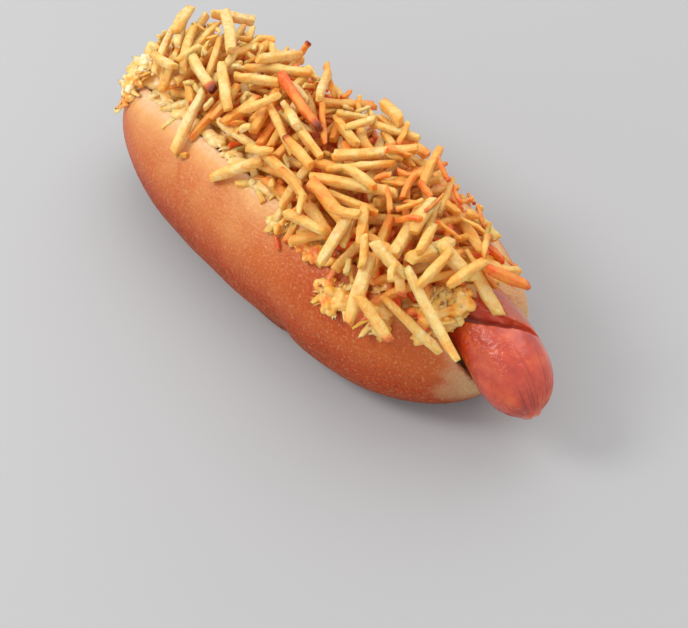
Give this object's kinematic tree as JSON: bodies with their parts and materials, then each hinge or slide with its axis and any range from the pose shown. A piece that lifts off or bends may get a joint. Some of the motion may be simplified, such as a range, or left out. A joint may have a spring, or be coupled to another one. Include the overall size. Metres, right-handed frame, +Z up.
{
  "type": "hot dog",
  "caption": "Split soft roll holding a slit sausage, with a creamy grated filling over it and a heap of fried potato sticks on top.",
  "frame": {"origin": "middle of the underside of the whole hot dog's box, on the table", "axes": "+X along the roll towards the sausage's bare tip, +Z up"},
  "size_m": [0.191, 0.0694, 0.0667],
  "materials": {
    "crust": "baked soft crust, golden brown with a soft sheen",
    "sausage": "red cooked sausage skin, glossy",
    "filling": "creamy yellow grated filling, moist",
    "potato": "fried potato, pale gold with brown tips"
  },
  "bodies": {
    "root": {"roll": "crust", "sausage": "sausage", "filling": "filling", "potato_sticks": "potato"}
  },
  "joints": []
}
